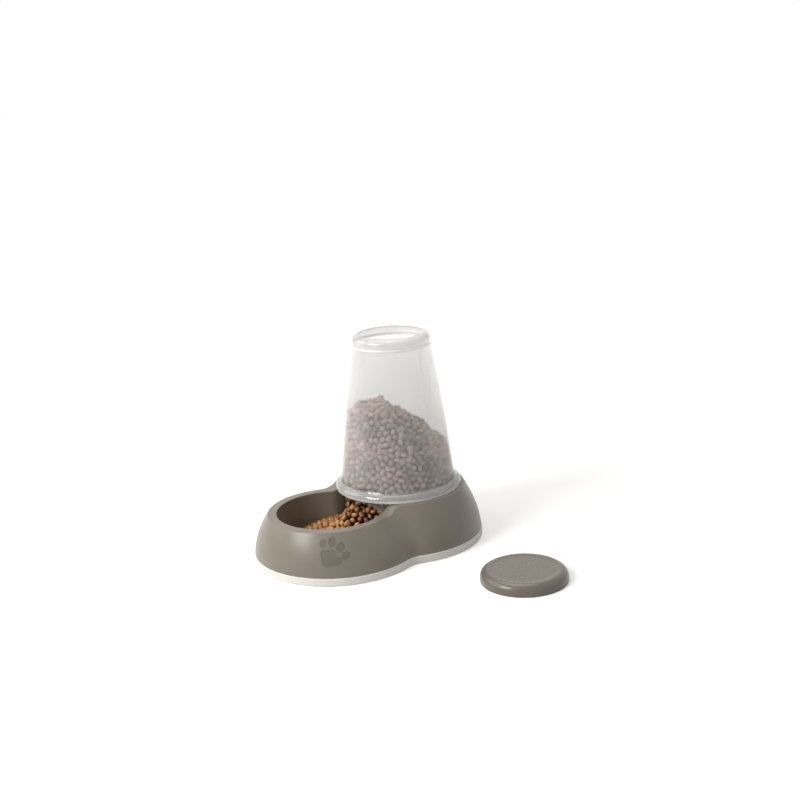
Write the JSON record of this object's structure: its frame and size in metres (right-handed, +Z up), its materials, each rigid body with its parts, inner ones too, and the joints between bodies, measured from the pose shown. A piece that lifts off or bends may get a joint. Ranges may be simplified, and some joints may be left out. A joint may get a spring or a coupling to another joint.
{
  "type": "gravity pet feeder",
  "caption": "Gravity pet feeder: a low bowl joined to a round seat, a milky tapered hopper that feeds the bowl through an arch, and a cap lid laid beside it.",
  "frame": {"origin": "on the floor, midway across the whole set in X and Y, the lid lying beside the feeder included", "axes": "+Z up, +X from the bowl towards the hopper, -Y towards the side where the lid lies"},
  "size_m": [0.306, 0.3722, 0.2682],
  "materials": {
    "base_shell": "fine satin moulded",
    "anti_slip_ring": "matte soft-touch",
    "hopper": "milky translucent, glossy",
    "lid": "satin moulded"
  },
  "bodies": {
    "base": {"base_shell": "base_shell", "anti_slip_ring": "anti_slip_ring"},
    "hopper_body": {"hopper": "hopper"},
    "lid_body": {"lid": "lid"}
  },
  "joints": [
    {"name": "hopper_lift", "type": "slide", "parent": "base", "child": "hopper_body", "axis": [0, 0, 1], "range_m": [0, 0.12]},
    {"name": "lid_lift", "type": "slide", "parent": "base", "child": "lid_body", "axis": [0, 0, 1], "range_m": [0, 0.27]}
  ]
}
